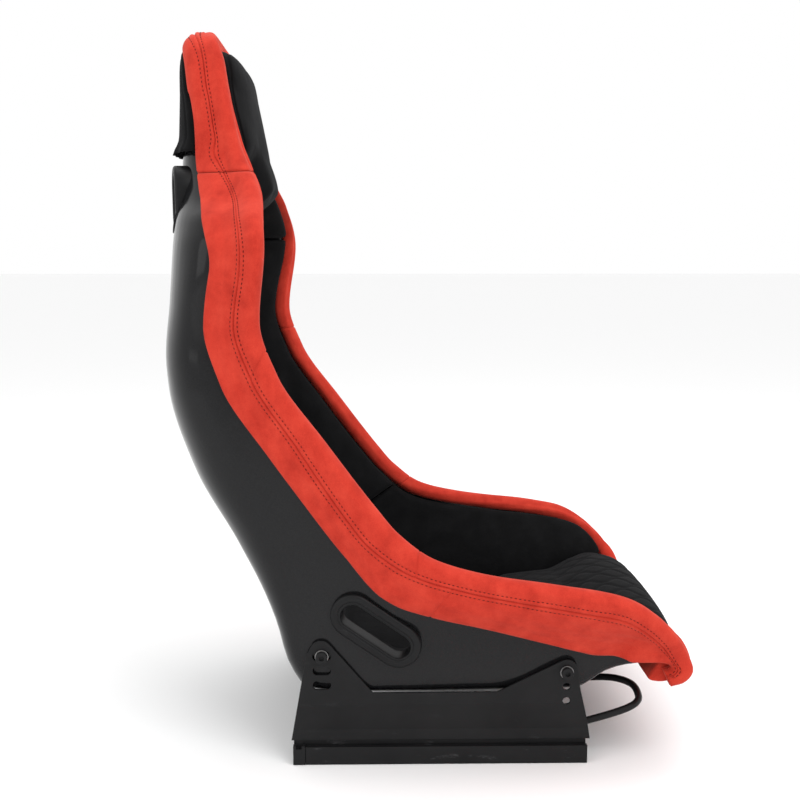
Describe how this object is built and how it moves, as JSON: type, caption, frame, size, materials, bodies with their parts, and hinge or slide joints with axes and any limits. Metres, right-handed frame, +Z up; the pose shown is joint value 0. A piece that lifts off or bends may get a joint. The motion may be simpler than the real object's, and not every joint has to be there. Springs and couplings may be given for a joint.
{
  "type": "fixed-back racing seat",
  "caption": "Fixed-back bucket racing seat with suede pads and trims on a gloss shell, harness slots, side brackets and sliding floor rails with a release bar.",
  "frame": {"origin": "middle of the seat's footprint, at the underside of the floor rails", "axes": "+X forwards to the knees, +Y to the sitter's left, +Z up"},
  "size_m": [0.6589, 0.534, 0.9202],
  "materials": {
    "red_suede": "synthetic suede with a short nap, double-stitched",
    "black_suede": "synthetic suede over foam",
    "gelcoat": "gloss gelcoat on glass-fibre laminate",
    "bezel_plastic": "satin moulded plastic",
    "black_steel": "satin black powder coat",
    "zinc_steel": "zinc plated steel",
    "spring_steel": "oiled spring steel",
    "nylon": "moulded nylon"
  },
  "bodies": {
    "floor_rails": {"lower_rail_right": "black_steel", "lower_rail_left": "black_steel", "rail_cap_right": "nylon", "rail_cap_left": "nylon", "lock_rack_right": "zinc_steel", "lock_rack_left": "zinc_steel"},
    "ball_cages": {"ball_cage_right": "nylon", "ball_cage_left": "nylon"},
    "seat": {"head_trim": "red_suede", "back_trim_right": "red_suede", "back_trim_left": "red_suede", "thigh_trim_right": "red_suede", "thigh_trim_left": "red_suede", "front_trim": "red_suede", "head_pad": "black_suede", "head_rear_cover": "black_suede", "back_pad": "black_suede", "back_bolster_right": "black_suede", "back_bolster_left": "black_suede", "thigh_lining_right": "black_suede", "thigh_lining_left": "black_suede", "seat_cushion": "black_suede", "shell": "gelcoat", "lap_slot_bezel_right": "bezel_plastic", "lap_slot_bezel_left": "bezel_plastic", "shoulder_slot_bezel_right": "bezel_plastic", "shoulder_slot_bezel_left": "bezel_plastic", "side_bracket_right": "black_steel", "side_bracket_left": "black_steel", "upper_rail_right": "black_steel", "upper_rail_left": "black_steel", "rear_shell_bolt_right": "black_steel", "rear_shell_bolt_left": "black_steel", "front_shell_bolt_right": "black_steel", "front_shell_bolt_left": "black_steel", "rear_washer_right": "zinc_steel", "rear_washer_left": "zinc_steel", "front_washer_right": "zinc_steel", "front_washer_left": "zinc_steel", "rear_nut_right": "zinc_steel", "rear_nut_left": "zinc_steel", "front_nut_right": "zinc_steel", "front_nut_left": "zinc_steel", "rear_rail_bolt_right": "zinc_steel", "rear_rail_bolt_left": "zinc_steel", "front_rail_bolt_right": "zinc_steel", "front_rail_bolt_left": "zinc_steel", "rear_rail_nut_right": "zinc_steel", "rear_rail_nut_left": "zinc_steel", "front_rail_nut_right": "zinc_steel", "front_rail_nut_left": "zinc_steel", "lever_pin_right": "zinc_steel", "lever_pin_left": "zinc_steel", "lever_spring_right": "spring_steel", "lever_spring_left": "spring_steel"},
    "release": {"release_bar": "black_steel", "lock_lever_right": "zinc_steel", "lock_lever_left": "zinc_steel"}
  },
  "joints": [
    {"name": "seat_slide", "type": "slide", "parent": "floor_rails", "child": "seat", "axis": [1, 0, 0], "range_m": [-0.08, 0.08]},
    {"name": "cage_slide", "type": "slide", "parent": "floor_rails", "child": "ball_cages", "axis": [1, 0, 0], "range_m": [-0.04, 0.04]},
    {"name": "release_lift", "type": "hinge", "parent": "seat", "child": "release", "pos_m": [0.05, 0, 0.042], "axis": [0, -1, 0], "range_deg": [0, 5.5], "stiffness_Nm_per_rad": 4, "springref_deg": -5.73}
  ],
  "couplings": [
    {"joint": "cage_slide", "follows": "seat_slide", "ratio": 0.5}
  ]
}
